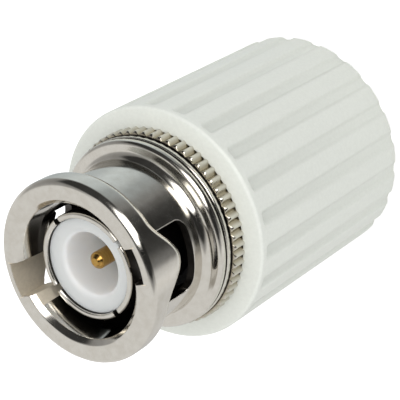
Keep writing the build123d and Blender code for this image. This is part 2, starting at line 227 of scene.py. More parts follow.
def curved_block(
    angle: float,
    across: Sequence[float],
    lows: Sequence[float],
    highs: Sequence[float],
    r_in: float,
    r_out: float,
) -> bpy.types.Object:
    """Makes a block between two cylinders about Z, with its sides square to the axis's radius.

    Args:
        angle: Degrees of the block's middle.
        across: Distances across the block, in growing order.
        lows: Lower height at each distance.
        highs: Upper height at each distance.
        r_in: Inner radius in millimetres.
        r_out: Outer radius in millimetres.

    Returns:
        A closed mesh object.
    """
    vertices = []
    for x, low, high in zip(across, lows, highs):
        for r in (r_in, r_out):
            out = sqrt(r * r - x * x)
            vertices += [(out, x, low), (out, x, high)]
    faces = [(0, 1, 3, 2)]
    for i in range(0, len(vertices) - 4, 4):
        faces += [(i, i + 2, i + 6, i + 4), (i + 1, i + 5, i + 7, i + 3)]
        faces += [(i, i + 4, i + 5, i + 1), (i + 2, i + 3, i + 7, i + 6)]
    end = len(vertices) - 4
    faces.append((end, end + 2, end + 3, end + 1))
    mesh = bpy.data.meshes.new("block")
    mesh.from_pydata(vertices, [], faces)
    mesh.transform(Matrix.Rotation(radians(angle), 4, "Z"))
    clean = bmesh.new()
    clean.from_mesh(mesh)
    bmesh.ops.recalc_face_normals(clean, faces=clean.faces)
    clean.to_mesh(mesh)
    clean.free()
    return to_object("block", mesh)


def combine(piece: bpy.types.Object, tools: Sequence[bpy.types.Object], change: Change) -> None:
    """Cuts tools out of a piece or joins them to it, one after the other, and drops the tools.

    Args:
        piece: Mesh object that is changed.
        tools: Mesh objects that are used up.
        change: Whether the tools cut or join.
    """
    for tool in tools:
        step = piece.modifiers.new("change", "BOOLEAN")
        step.operation = change.value
        step.solver = "EXACT"
        step.object = tool
        seen = piece.evaluated_get(bpy.context.evaluated_depsgraph_get())
        old = piece.data
        fresh = bpy.data.meshes.new_from_object(seen)
        piece.modifiers.clear()
        piece.data = fresh
        bpy.data.meshes.remove(old)
        bpy.data.objects.remove(tool)


def mark_painted_tone(piece: bpy.types.Object, share: Callable[[Vector], float]) -> None:
    """Writes on each vertex how far it lies in a sunk place, where its finish paints shade in grooves and
    light in the insulator's bore.

    Args:
        piece: Mesh object in millimetres.
        share: Gives 0 to 1 for a vertex's place.
    """
    marks = piece.data.attributes.new("sunk", "FLOAT", "POINT")
    for vertex, mark in zip(piece.data.vertices, marks.data):
        mark.value = share(vertex.co)


def dress(piece: bpy.types.Object, material: bpy.types.Material) -> None:
    """Gives a whole piece one material."""
    piece.data.materials.clear()
    piece.data.materials.append(material)


def dress_where(piece: bpy.types.Object, material: bpy.types.Material, chosen: Chooser) -> None:
    """Gives some faces of a dressed piece a material of their own.

    Args:
        piece: Mesh object in millimetres.
        material: Material that the faces take.
        chosen: Tells from a face's middle and normal whether it is one of them.
    """
    piece.data.materials.append(material)
    for face in piece.data.polygons:
        if chosen(face.center, face.normal):
            face.material_index = len(piece.data.materials) - 1


def hand_over(piece: bpy.types.Object, node: str, body: str) -> None:
    """Scales a dressed piece to metres, shades it smooth and puts it in its node's place.

    Args:
        piece: Mesh object in millimetres.
        node: CAD node that it stands for.
        body: Moving body that it rides.
    """
    piece.name = node + "_look"
    piece.data.name = piece.name
    piece.data.transform(Matrix.Scale(MM, 4))
    piece.data.shade_smooth()
    piece.data.set_sharp_from_angle(angle=radians(SHARP_ANGLE))
    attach(piece, body)
    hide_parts(node)
    log.info("%s: %d faces, %s", piece.name, len(piece.data.polygons), piece.data.materials[0].name)


# Finishes


class Pattern(Enum):
    """How a finish breaks up its surface."""

    CLOUDS = "even noise, as on plated or moulded skin"
    RINGS = "fine rings round the axis, as left by a turning tool"


@dataclass(frozen=True)
class Finish:
    """One surface finish: a shader with its typical values and a fine relief.

    The relief and the roughness share one pattern, so that dull spots are also the uneven ones.
    """

    name: str
    colour: str
    shade: str
    roughness: float
    pattern_size_mm: float
    relief_mm: float
    metallic: float = 0.0
    roughness_swing: float = 0.05
    pattern: Pattern = Pattern.CLOUDS
    ring_stretch: float = 0.04
    pattern_contrast: float = 0.4
    colour_contrast: float = 0.3
    edge_mm: float = 0.0
    ior: float = 1.5
    subsurface: float = 0.0
    subsurface_mm: float = 0.3
    subsurface_reach: Sequence[float] = (1.0, 0.96, 0.92)
    # Colour mixed in where the piece is sunk: painted shade in grooves and knurl gaps, painted light in the
    # insulator's bore mouth
    painted_tone_share: float = 0.0
    painted_tone_colour: str = "#8C918A"

    def build(self) -> bpy.types.Material:
        """Builds the material.

        Returns:
            The node material.
        """
        material, tree = blank_material(self.name)
        grain = self.grain(tree)
        rough = add_node(
            tree,
            "ShaderNodeMapRange",
            {
                "Value": grain,
                "From Min": 0.5 - self.pattern_contrast / 2,
                "From Max": 0.5 + self.pattern_contrast / 2,
                "To Min": self.roughness - self.roughness_swing,
                "To Max": self.roughness + self.roughness_swing,
            },
        )
        bump = add_node(
            tree, "ShaderNodeBump", {"Height": grain, "Distance": self.relief_mm * MM, "Strength": 1.0}
        )
        if self.edge_mm:
            edge = add_node(tree, "ShaderNodeBevel", {"Radius": self.edge_mm * MM}, samples=EDGE_SAMPLES)
            tree.links.new(edge.outputs["Normal"], bump.inputs["Normal"])
        shader = add_node(
            tree,
            "ShaderNodeBsdfPrincipled",
            {
                "Base Color": self.paint(tree, grain),
                "Metallic": self.metallic,
                "Roughness": rough.outputs["Result"],
                "IOR": self.ior,
                "Subsurface Weight": self.subsurface,
                "Subsurface Scale": self.subsurface_mm * MM,
                "Subsurface Radius": self.subsurface_reach,
                "Normal": bump.outputs["Normal"],
            },
        )
        add_node(tree, "ShaderNodeOutputMaterial", {"Surface": shader.outputs["BSDF"]})
        return material

    def grain(self, tree: bpy.types.NodeTree) -> bpy.types.NodeSocket:
        """Adds the pattern that colour, roughness and relief share, and gives its output."""
        place = add_node(tree, "ShaderNodeTexCoord").outputs["Object"]
        if self.pattern is Pattern.RINGS:
            squeeze = (self.ring_stretch, self.ring_stretch, 1.0)
            place = add_node(
                tree, "ShaderNodeVectorMath", {0: place, 1: squeeze}, operation="MULTIPLY"
            ).outputs["Vector"]
        noise = add_node(
            tree,
            "ShaderNodeTexNoise",
            {"Vector": place, "Scale": 1 / (self.pattern_size_mm * MM), "Detail": 3.0, "Roughness": 0.55},
        )
        return noise.outputs["Fac"]

    def paint(self, tree: bpy.types.NodeTree, grain: bpy.types.NodeSocket) -> bpy.types.NodeSocket:
        """Adds the colour, which follows the pattern and is tinted where the piece is sunk: painted shade in
        grooves, painted light in the insulator's bore.

        Args:
            tree: Node tree that takes the nodes.
            grain: The pattern.

        Returns:
            The colour's output.
        """
        ramp = add_node(tree, "ShaderNodeValToRGB", {"Fac": grain})
        dark, bright = ramp.color_ramp.elements
        dark.position, dark.color = 0.5 - self.colour_contrast / 2, linear(self.shade)
        bright.position, bright.color = 0.5 + self.colour_contrast / 2, linear(self.colour)
        if not self.painted_tone_share:
            return ramp.outputs["Color"]
        sunk = add_node(tree, "ShaderNodeAttribute", attribute_name="sunk")
        share = add_node(
            tree, "ShaderNodeMath", {0: sunk.outputs["Fac"], 1: self.painted_tone_share}, operation="MULTIPLY"
        )
        mixed = add_node(
            tree,
            "ShaderNodeMixRGB",
            {
                "Fac": share.outputs[0],
                "Color1": ramp.outputs["Color"],
                "Color2": linear(self.painted_tone_colour),
            },
        )
        return mixed.outputs["Color"]


# Warm bright plate with slightly rolled edges from barrel plating, with tan painted shade between the knurl's
# teeth
NICKEL = Finish(
    name="nickel_plated_brass_tumbled",
    colour="#DDDAD3",
    shade="#D6D2CA",
    roughness=0.12,
    roughness_swing=0.03,
    metallic=1.0,
    pattern_size_mm=0.7,
    relief_mm=0.0004,
    edge_mm=0.12,
    painted_tone_share=1.0,
    painted_tone_colour="#A39984",
)
# Nickel darkened to near black as painted shade, for recesses, gaps and grooves where shade falls
SHADED_NICKEL = Finish(
    name="nickel_painted_shade",
    colour="#4A4744",
    shade="#403D3A",
    roughness=0.4,
    metallic=1.0,
    pattern_size_mm=0.5,
    relief_mm=0.001,
    edge_mm=0.05,
)
# Milled faces keep fine cutter marks under the plate; their lighter tan-grey colour is painted light,
# standing in for brown reflections
MILLED_LIT_NICKEL = Finish(
    name="nickel_milled_painted_light",
    colour="#D6CCBA",
    shade="#CCC2B0",
    roughness=0.6,
    metallic=0.4,
    pattern_size_mm=0.3,
    relief_mm=0.002,
    edge_mm=0.05,
)
# Pale grey-green moulding with a faint satin grain, made a little greyer in its grooves by painted shade
COVER_ABS = Finish(
    name="abs_moulded_satin",
    colour="#DDE0D9",
    shade="#D9DCD5",
    roughness=0.5,
    pattern_size_mm=0.25,
    relief_mm=0.003,
    edge_mm=0.06,
    ior=1.53,
    painted_tone_share=0.17,
)
# Waxy white with faint tool rings and light through the plastic, with the bore's mouth whitened by painted
# light
PTFE = Finish(
    name="ptfe_turned",
    colour="#C5C7C6",
    shade="#C1C3C2",
    roughness=0.42,
    pattern=Pattern.RINGS,
    pattern_size_mm=0.1,
    relief_mm=0.001,
    edge_mm=0.06,
    ior=1.38,
    subsurface=0.9,
    subsurface_mm=1.2,
    painted_tone_share=1.0,
    painted_tone_colour="#FCFEFE",
)
# Deep yellow plate over turned brass
GOLD = Finish(
    name="gold_plated_brass_turned",
    colour="#C09A55",
    shade="#AE8648",
    roughness=0.22,
    metallic=1.0,
    pattern=Pattern.RINGS,
    pattern_size_mm=0.08,
    relief_mm=0.001,
    edge_mm=0.05,
)
# Grey sheet steel with rolled skin
STEEL = Finish(
    name="spring_steel_stamped",
    colour="#B9B7B2",
    shade="#ACAAA5",
    roughness=0.3,
    metallic=1.0,
    pattern_size_mm=0.3,
    relief_mm=0.002,
)
# Dull black seal
SILICONE = Finish(
    name="silicone_moulded",
    colour="#2B2B2C",
    shade="#262627",
    roughness=0.5,
    pattern_size_mm=0.2,
    relief_mm=0.004,
    ior=1.43,
)
# Blue-grey glossy coat on the resistor
LACQUER = Finish(
    name="lacquered_ceramic",
    colour="#5F8296",
    shade="#587A8D",
    roughness=0.25,
    pattern_size_mm=0.4,
    relief_mm=0.004,
    ior=1.52,
)
# Soft grey tin, slightly wavy
TIN = Finish(
    name="tinned_copper",
    colour="#C9C9C6",
    shade="#BDBDBA",
    roughness=0.35,
    roughness_swing=0.08,
    metallic=1.0,
    pattern_size_mm=0.25,
    relief_mm=0.004,
)
# Milky thin tube
TUBING = Finish(
    name="extruded_tubing",
    colour="#DAD7CC",
    shade="#D2CFC4",
    roughness=0.4,
    pattern_size_mm=0.3,
    relief_mm=0.003,
    ior=1.45,
)

FINISH_OF_SLOT = {
    "nickel": NICKEL,
    "cover_plastic": COVER_ABS,
    "ptfe": PTFE,
    "gold": GOLD,
    "spring_steel": STEEL,
    "silicone": SILICONE,
    "resistor_lacquer": LACQUER,
    "tinned": TIN,
    "tube_plastic": TUBING,
}


# The part's pieces, in millimetres


@dataclass
class Cover:
    """Moulded cover: a closed tube with long shallow grooves that fade out below its front edge."""

    radius: float = 9.58
    length: float = 20.1
    front_edge: float = 0.53
    rear_edge: float = 0.45
    mouth_radius: float = 8.02
    mouth_depth: float = 0.5
    lip_radius: float = 7.8
    lip_depth: float = 0.4
    seat_floor: float = 13.6
    chamber_radius: float = 7.2
    floor: float = 2.0
    groove_count: int = 22
    groove_phase: float = -5.1
    groove_depth: float = 0.3
    groove_half_width: float = 0.68
    groove_half_floor: float = 0.3
    groove_end: float = 19.57
    groove_fade: float = 0.4

    def offset(self, angle: float) -> float:
        """Distance in millimetres round the wall from the nearest groove's middle."""
        pitch = 360 / self.groove_count
        aside = (angle - self.groove_phase + pitch / 2) % pitch - pitch / 2
        return abs(radians(aside)) * self.radius

    def wall(self, r: float, z: float, angle: float) -> Point:
        """Sinks the grooves into the outer wall.

        Args:
            r: Radius of the plain wall.
            z: Height.
            angle: Degrees round the axis.

        Returns:
            Radius and height with the groove.
        """
        if r < self.mouth_radius + 1 or z > self.groove_end:
            return r, z
        width = self.groove_half_width - self.groove_half_floor
        sunk = self.groove_depth * smooth((self.groove_half_width - self.offset(angle)) / width)
        fade = smooth((self.groove_end - z) / self.groove_fade)
        return min(r, self.radius - sunk * fade), z

    def angles(self) -> list[float]:
        """Degrees of the columns, closer together on the grooves' flanks."""
        flank = self.groove_half_width - self.groove_half_floor
        one_side = [self.groove_half_width - flank * i / 4 for i in range(5)] + [self.groove_half_floor / 2]
        offsets = [-o for o in one_side] + [0.0] + one_side[::-1]
        pitch = 360 / self.groove_count
        spread = [degrees(o / self.radius) for o in offsets]
        lands = [spread[-1] + (pitch - 2 * spread[-1]) * i / 5 for i in range(1, 5)]
        columns = [
            pitch * k + a + self.groove_phase for k in range(self.groove_count) for a in spread + lands
        ]
        return sorted(c % 360 for c in columns)

    def sunk(self, place: Vector) -> float:
        """How deep a place lies in a groove, from 0 on the land to 1 on the groove's floor, which sets the
        painted shade there.
        """
        share = (self.radius - place.xy.length) / self.groove_depth
        return share if share < DEEPEST_SHARE and self.rear_edge < place.z < self.groove_end else 0.0

    def build(self, material: bpy.types.Material) -> None:
        """Builds the cover's mesh and puts it in place.

        Args:
            material: Its plastic.
        """
        fade_rows = [self.groove_end - self.groove_fade * i / 8 for i in range(9, -1, -1)]
        corners = [
            (0, 0, 0),
            (self.radius, 0, self.rear_edge),
            *((self.radius, z, 0) for z in fade_rows),
            (self.radius, self.length, self.front_edge),
            (self.lip_radius, self.length, 0.06),
            (self.lip_radius, self.length - self.lip_depth, 0),
            (self.mouth_radius, self.length - self.mouth_depth, 0),
            (self.mouth_radius, self.seat_floor, 0),
            (self.chamber_radius, self.seat_floor, 0),
            (self.chamber_radius, self.floor, 0),
            (0, self.floor, 0),
        ]
        piece = revolve("cover", soften(corners), self.angles(), self.wall)
        mark_painted_tone(piece, self.sunk)
        dress(piece, material)
        hand_over(piece, "cover", "shell")


@dataclass
class CouplingSleeve:
    """Turned and milled sleeve: rim with two lobes, windows, notches, ramps, ring grooves and knurl."""

    front: float = 30.38
    neck_radius: float = 6.28
    rim_radius: float = 7.28
    rim_rear: float = 28.25
    rim_taper: float = 0.45
    rim_step: float = 0.18
    lead_in_radius: float = 5.75
    mouth_radius: float = 5.36
    mouth_rear: float = 29.96
    bore_radius: float = 5.1
    bore_front: float = 28.6
    chamber_radius: float = 5.65
    chamber_rear: float = 22.3
    collar_rear: float = 27.6
    lip_radius: float = 3.9
    lip_front: float = 18.4
    lip_rear: float = 17.6
    skirt_bore_radius: float = 6.3
    skirt_rear: float = 13.62
    flange_radius: float = 7.65
    flange_front: float = 22.72
    flange_rear: float = 22.06
    land_radius: float = 7.70
    land_front: float = 21.88
    land_rear: float = 21.49
    groove_radius: float = 7.45
    groove_shade_radius: float = 7.62
    knurl_radius: float = 8.0
    knurl_front: float = 21.32
    knurl_depth: float = 0.28
    knurl_count: int = 64
    columns_per_tooth: int = 8
    lobe_angle: float = -5.5
    lobe_half_angle: float = 27.0
    lobe_drop: float = 1.65
    lobe_root: float = 0.2
    window_angle: float = -13.2
    window_half_width: float = 2.85
    window_rear: float = 24.15
    window_corner: float = 0.9
    window_cut_inner: float = 5.0
    window_cut_outer: float = 6.6
    window_cut_overlap: float = 0.3
    notch_half_width: float = 1.35
    notch_floor: float = 25.05
    notch_reach: float = 6.5
    notch_cut_inner: float = 4.6
    notch_cut_top: float = 31.0
    burr_angle: float = 26.0
    ramp_start: float = -18.0
    ramp_end: float = -49.0
    ramp_lift: float = 0.7
    ramp_inner: float = 5.15
    ramp_outer: float = 5.7
    ramp_overlap: float = 0.05
    detent: float = -58.0
    detent_radius: float = 1.05
    detent_centre: float = 26.4
    stop: float = -70.0
    stop_end: float = -76.0
    stop_slope: float = 0.02
    stop_drop: float = 1.6
    slack: float = 0.05
    fine_slack: float = 0.02
    hair: float = 0.01

    def drop(self, angle: float) -> float:
        """How far a lobe hangs below the rim's rear face at an angle."""
        aside = abs((angle - self.lobe_angle + 90) % 180 - 90)
        return self.lobe_drop * cos(min(aside / self.lobe_half_angle, 1.0) * pi / 2) ** 2

    def skin(self, r: float, z: float, angle: float) -> Point:
        """Shapes the turned outline: lobes on the rim's rear face and teeth on the knurl.

        Args:
            r: Turned radius.
            z: Height.
            angle: Degrees round the axis.

        Returns:
            Radius and height of the shaped skin.
        """
        on_rim_rear = self.rim_rear - self.lobe_root < z < self.rim_rear + 2 * self.rim_taper
        if r > self.neck_radius - self.slack and on_rim_rear:
            return r, z - self.drop(angle)
        if r > (self.skirt_bore_radius + self.knurl_radius) / 2 and z < self.knurl_front:
            sunk = (1 - cos(radians(angle) * self.knurl_count)) / 2
            return min(r, self.knurl_radius - self.knurl_depth * sunk), z
        return r, z

    def is_notch_side(self, middle: Vector, normal: Vector) -> bool:
        """Whether a face is one of the two flat sides of an entry notch."""
        half_width = self.notch_half_width + self.fine_slack
        return middle.xy.length < self.notch_reach and abs(normal.y) > 0.9 and abs(middle.y) < half_width

    def is_painted_shade(self, middle: Vector, normal: Vector) -> bool:
        """Whether a face lies in the chamber, on a notch's side, on a window's sill or in a ring groove,
        which get painted shade.
        """
        if self.is_notch_side(middle, normal):
            return True
        if middle.z > self.collar_rear + self.hair:
            return False
        reach = middle.xy.length
        sill = reach < self.neck_radius and normal.z > 0.5
        by_grooves = self.knurl_front - self.fine_slack < middle.z < self.flange_rear - self.fine_slack
        groove = by_grooves and self.groove_radius - self.slack < reach < self.groove_shade_radius
        return reach < self.chamber_radius + self.slack or sill or groove

    def is_milled_and_lit(self, middle: Vector, normal: Vector) -> bool:
        """Whether a face is a notch's outer wall, a side of the notch on -X, or the land beside a notch.

        The land is the stretch of the bore past a notch where its burr was cut off. These faces get painted
        light; only the notch side on -X is lit, and the one on +X keeps painted shade.
        """
        reach = middle.xy.length
        outer = abs(reach - self.notch_reach) < self.slack
        # Painted light on the -X notch's side only; the +X side keeps its painted shade
        side = middle.x < 0 and self.is_notch_side(middle, normal)
        past_notch = degrees(atan2(middle.y, middle.x)) % 180
        land = reach < self.mouth_radius + self.hair and past_notch < self.burr_angle
        return (outer or side or land) and middle.z > self.collar_rear

    def sunk(self, place: Vector) -> float:
        """How deep a place lies between the knurl's teeth, which sets the tan painted shade there."""
        reach = place.xy.length
        if place.z > self.knurl_front or reach < self.knurl_radius - DEEPEST_SHARE * self.knurl_depth:
            return 0.0
        return min(max(self.knurl_radius - reach, 0.0) / self.knurl_depth, 1.0)

    def outline(self) -> list[Point]:
        """Outline of the turned part, from the bore's mouth outwards and down the outside."""
        corners = [
            (self.mouth_radius, self.mouth_rear, 0.12),
            (self.lead_in_radius, self.front, 0.2),
            (self.rim_radius, self.front, 0.56),
            (self.rim_radius, self.rim_rear + self.rim_taper, 1.2),
            (self.rim_radius - self.rim_step, self.rim_rear, 0.06),
            (self.neck_radius, self.rim_rear, 0.08),
            (self.neck_radius, self.flange_front, 1.0),
            (self.flange_radius, self.flange_front, 0.37),
            (self.flange_radius, self.flange_rear, 0.06),
            (self.groove_radius, self.flange_rear, 0.04),
            (self.groove_radius, self.land_front, 0.04),
            (self.land_radius, self.land_front, 0.08),
            (self.land_radius, self.land_rear, 0.08),
            (self.groove_radius, self.land_rear, 0.04),
            (self.groove_radius, self.knurl_front, 0.04),
            (self.knurl_radius, self.knurl_front, 0.62),
            (self.knurl_radius, self.skirt_rear, 0.05),
            (self.skirt_bore_radius, self.skirt_rear, 0),
            (self.skirt_bore_radius, self.lip_rear, 0),
            (self.lip_radius, self.lip_rear, 0),
            (self.lip_radius, self.lip_front, 0),
            (self.bore_radius, self.lip_front, 0),
            (self.bore_radius, self.chamber_rear, 0),
            (self.chamber_radius, self.chamber_rear, 0),
            (self.chamber_radius, self.collar_rear, 0),
            (self.bore_radius, self.collar_rear, 0),
            (self.bore_radius, self.bore_front, 0.5),
        ]
        return soften(corners, steps=6)

    def window_cutters(self, half_turn: float) -> list[bpy.types.Object]:
        """Makes the cutters of one window: below the lobe right through, behind it up to the lobe."""
        middle = self.window_angle + half_turn
        corner = self.window_corner
        turns = [pi / 2 * i / 6 for i in range(7)]
        left = [-self.window_half_width + corner * (1 - cos(t)) for t in turns]
        floor = [self.window_rear + corner * (1 - sin(t)) for t in turns]
        flat = [left[-1] + (-2 * left[-1]) * i / 10 for i in range(1, 10)]
        across = left + flat + [-x for x in left[::-1]]
        lows = floor + [self.window_rear] * len(flat) + floor[::-1]
        turned = [middle + degrees(asin(x / self.neck_radius)) for x in across]
        lobe_edge = [self.rim_rear - self.drop(angle) - self.fine_slack for angle in turned]
        edge = [min(height, self.collar_rear) for height in lobe_edge]
        low_edge = [height - self.window_cut_overlap for height in edge]
        top = [self.collar_rear] * len(across)
        r_in, r_behind = self.window_cut_inner, self.neck_radius - self.hair
        through = curved_block(middle, across, lows, edge, r_in, self.window_cut_outer)
        behind = curved_block(middle, across, low_edge, top, r_in, r_behind)
        return [through, behind]

    def ramp_block(self, half_turn: float) -> bpy.types.Object:
        """Makes one bayonet ramp with its detent and stop, inside the collar's chamber."""
        lift = self.collar_rear - self.ramp_lift
        reach = degrees(asin(self.detent_radius / self.chamber_radius))
        low_stop = lift - self.stop_drop
        outline = [(self.stop_end, low_stop), (self.stop + self.stop_slope, low_stop), (self.stop, lift)]
        for i in range(13):
            turn = pi * i / 12
            x = self.detent_radius * cos(turn)
            rise = sqrt(max(self.detent_radius**2 - x**2, 0.0))
            outline.append((self.detent - reach * cos(turn), max(lift, self.detent_centre + rise)))
        outline += [(self.ramp_end, lift), (self.ramp_start, self.collar_rear)]
        outline.sort()
        across = [self.chamber_radius * sin(radians(angle - self.detent)) for angle, _ in outline]
        lows = [low for _, low in outline]
        highs = [self.collar_rear + self.ramp_overlap] * len(outline)
        middle = self.detent + half_turn
        return curved_block(middle, across, lows, highs, self.ramp_inner, self.ramp_outer)

    def notch_cutter(self, half_turn: float) -> bpy.types.Object:
        """Makes the cutter of one entry notch."""
        across = [self.notch_half_width * (i / 5 - 1) for i in range(11)]
        lows, highs = [self.notch_floor] * len(across), [self.notch_cut_top] * len(across)
        return curved_block(half_turn, across, lows, highs, self.notch_cut_inner, self.notch_reach)

    def build(
        self, material: bpy.types.Material, shaded_plate: bpy.types.Material, milled: bpy.types.Material
    ) -> None:
        """Builds the sleeve's mesh and puts it in place.

        Args:
            material: Its plate outside.
            shaded_plate: Its plate darkened with painted shade in recesses and ring grooves.
            milled: Its plate on the cutter's marks in the notches, lightened tan by painted light.
        """
        angles = even_turn(self.columns_per_tooth * self.knurl_count)
        piece = revolve("coupling_sleeve", self.outline(), angles, self.skin)
        for half_turn in (0.0, 180.0):
            combine(piece, self.window_cutters(half_turn), Change.CUT)
            combine(piece, [self.ramp_block(half_turn)], Change.JOIN)
            combine(piece, [self.notch_cutter(half_turn)], Change.CUT)
        mark_painted_tone(piece, self.sunk)
        dress(piece, material)
        # Painted shade: dark plate on the chamber, notch sides, window sills and ring grooves
        dress_where(piece, shaded_plate, self.is_painted_shade)
        dress_where(piece, milled, self.is_milled_and_lit)
        hand_over(piece, "coupling_sleeve", "shell")


@dataclass
class OuterContact:
    """Thin tube slit into fingers with rounded tips."""

    inner_radius: float = 3.8
    root_radius: float = 4.16
    tip_radius: float = 4.26
    root: float = 20.1
    slot_floor: float = 23.5
    swell: float = 27.7
    front: float = 29.1
    slot_half_width: float = 0.25
    slot_phase: float = 20.5
    slot_count: int = 4
    slot_cut_inner: float = 3.0
    slot_cut_outer: float = 5.0
    slot_cut_top: float = 30.0
    bright_tip: float = 0.22
    columns: int = 192

    def is_painted_shade(self, middle: Vector, _: Vector) -> bool:
        """Whether a face lies behind the bright tips, where painted shade darkens the plate."""
        return middle.z < self.front - self.bright_tip

    def build(self, material: bpy.types.Material, shaded_plate: bpy.types.Material) -> None:
        """Builds the contact's mesh and puts it in place.

        Args:
            material: Its plate at the tips.
            shaded_plate: Its plate darkened with painted shade down in the sleeve.
        """
        corners = [
            (self.inner_radius, self.root, 0),
            (self.root_radius, self.root, 0),
            (self.root_radius, self.slot_floor, 0),
            (self.tip_radius, self.swell, 0),
            (self.tip_radius, self.front, 0.2),
            (self.inner_radius, self.front, 0.14),
        ]
        piece = revolve("outer_contact", soften(corners), even_turn(self.columns))
        across = [-self.slot_half_width, 0.0, self.slot_half_width]
        lows, highs = [self.slot_floor] * len(across), [self.slot_cut_top] * len(across)
        r_in, r_out = self.slot_cut_inner, self.slot_cut_outer
        for slot in range(self.slot_count):
            angle = self.slot_phase + 360 / self.slot_count * slot
            combine(piece, [curved_block(angle, across, lows, highs, r_in, r_out)], Change.CUT)
        dress(piece, material)
        # Painted shade on the contact behind its tips
        dress_where(piece, shaded_plate, self.is_painted_shade)
        hand_over(piece, "outer_contact", "plug")


@dataclass
class Insulator:
    """Turned fluoropolymer bar with a deep bore, its mouth well rounded."""

    radius: float = 3.78
    front: float = 28.8
    bore_radius: float = 2.5
    bore_floor: float = 22.0
    mouth_rounding: float = 1.0
    row_step: float = 0.6
    shank_radius: float = 2.98
    shoulder: float = 20.12
    rear: float = 14.62
    pin_hole_radius: float = 1.07
    collar_hole_radius: float = 1.32
    collar_hole_floor: float = 18.22
    glow_width: float = 0.7
    glow_edge: float = 0.5
    glow_end: float = 2.5
    glow_fade: float = 4.0
    glow_loss: float = 0.9
    columns: int = 160

    def sunk(self, place: Vector) -> float:
        """How deep a place lies in the bore's mouth, which sets the painted light that whitens it there."""
        deep = self.front - place.z
        in_bore = smooth((self.bore_radius + self.glow_width - place.xy.length) / self.glow_edge)
        lost = self.glow_loss * smooth((deep - self.glow_end) / self.glow_fade)
        return in_bore * smooth(deep / self.glow_edge) * (1 - lost)

    def build(self, material: bpy.types.Material) -> None:
        """Builds the insulator's mesh and puts it in place.

        Args:
            material: Its fluoropolymer.
        """
        bore_rows = [self.front - self.mouth_rounding - self.row_step * i for i in range(1, 10)]
        corners = [
            (self.collar_hole_radius, self.rear, 0),
            (self.shank_radius, self.rear, 0),
            (self.shank_radius, self.shoulder, 0),
            (self.radius, self.shoulder, 0),
            (self.radius, self.front, 0.08),
            (self.bore_radius, self.front, self.mouth_rounding),
            *((self.bore_radius, z, 0) for z in bore_rows),
            (self.bore_radius, self.bore_floor, 0.1),
            (self.pin_hole_radius, self.bore_floor, 0),
            (self.pin_hole_radius, self.collar_hole_floor, 0),
            (self.collar_hole_radius, self.collar_hole_floor, 0),
        ]
        piece = revolve("insulator", soften(corners), even_turn(self.columns))
        mark_painted_tone(piece, self.sunk)
        dress(piece, material)
        hand_over(piece, "insulator", "plug")


@dataclass
class CentrePin:
    """Turned pin with a coned nose, a retaining collar and a solder cup behind."""

    radius: float = 0.675
    tip: float = 28.1
    nose_radius: float = 0.3
    nose_length: float = 0.3
    shank_radius: float = 1.05
    step: float = 23.5
    shoulder: float = 23.125
    collar_radius: float = 1.3
    collar_front: float = 18.2
    collar_rear: float = 17.0
    rear: float = 14.6
    cup_radius: float = 0.45
    cup_floor: float = 16.6
    columns: int = 96

    def build(self, material: bpy.types.Material) -> None:
        """Builds the pin's mesh and puts it in place.

        Args:
            material: Its plate.
        """
        corners = [
            (0, self.tip, 0),
            (self.nose_radius, self.tip, 0.12),
            (self.radius, self.tip - self.nose_length, 0.3),
            (self.radius, self.step, 0.04),
            (self.shank_radius, self.shoulder, 0.04),
            (self.shank_radius, self.collar_front, 0),
            (self.collar_radius, self.collar_front, 0),
            (self.collar_radius, self.collar_rear, 0),
            (self.shank_radius, self.collar_rear, 0),
            (self.shank_radius, self.rear, 0),
            (self.cup_radius, self.rear, 0),
            (self.cup_radius, self.cup_floor, 0),
            (0, self.cup_floor, 0),
        ]
        piece = revolve("centre_pin", soften(corners), even_turn(self.columns))
        dress(piece, material)
        hand_over(piece, "centre_pin", "plug")


@dataclass
class Hardware:
    """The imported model's own pieces, which only take materials."""

    nodes: Sequence[dict]

    def build(self, materials: dict[str, bpy.types.Material]) -> None:
        """Dresses every node of the record.

        Args:
            materials: Material of each slot.
        """
        for entry in self.nodes:
            dress(frame["nodes"][entry["node"]], materials[entry["material_slot"]])
            log.info("%s: %s", entry["node"], entry["material_slot"])


# The studio


@dataclass
class Viewpoint:
    """The photograph's camera: a long lens that looks down at the standing part and is rolled."""

    place_mm: tuple[float, float, float] = (81.895, 24.221, 106.401)
    aim_mm: tuple[float, float, float] = (-0.021, 0.07, 14.817)
    roll_deg: float = -120.09
    lens_mm: float = 140.58
    sensor_mm: float = 36.0
    clip_start_m: float = 0.005

    def build(self) -> None:
        """Adds the camera and makes it the scene's own."""
        data = bpy.data.cameras.new("camera")
        data.lens = self.lens_mm
        data.sensor_width = self.sensor_mm
        data.clip_start = self.clip_start_m
        camera = bpy.data.objects.new("camera", data)
        bpy.context.scene.collection.objects.link(camera)
        place = Vector(self.place_mm) * MM
        look = Vector(self.aim_mm) * MM - place
        upright = look.to_track_quat("-Z", "Y").to_matrix()
        roll = Matrix.Rotation(radians(self.roll_deg), 3, "Z")
        camera.matrix_world = Matrix.Translation(place) @ (upright @ roll).to_4x4()
        bpy.context.scene.camera = camera


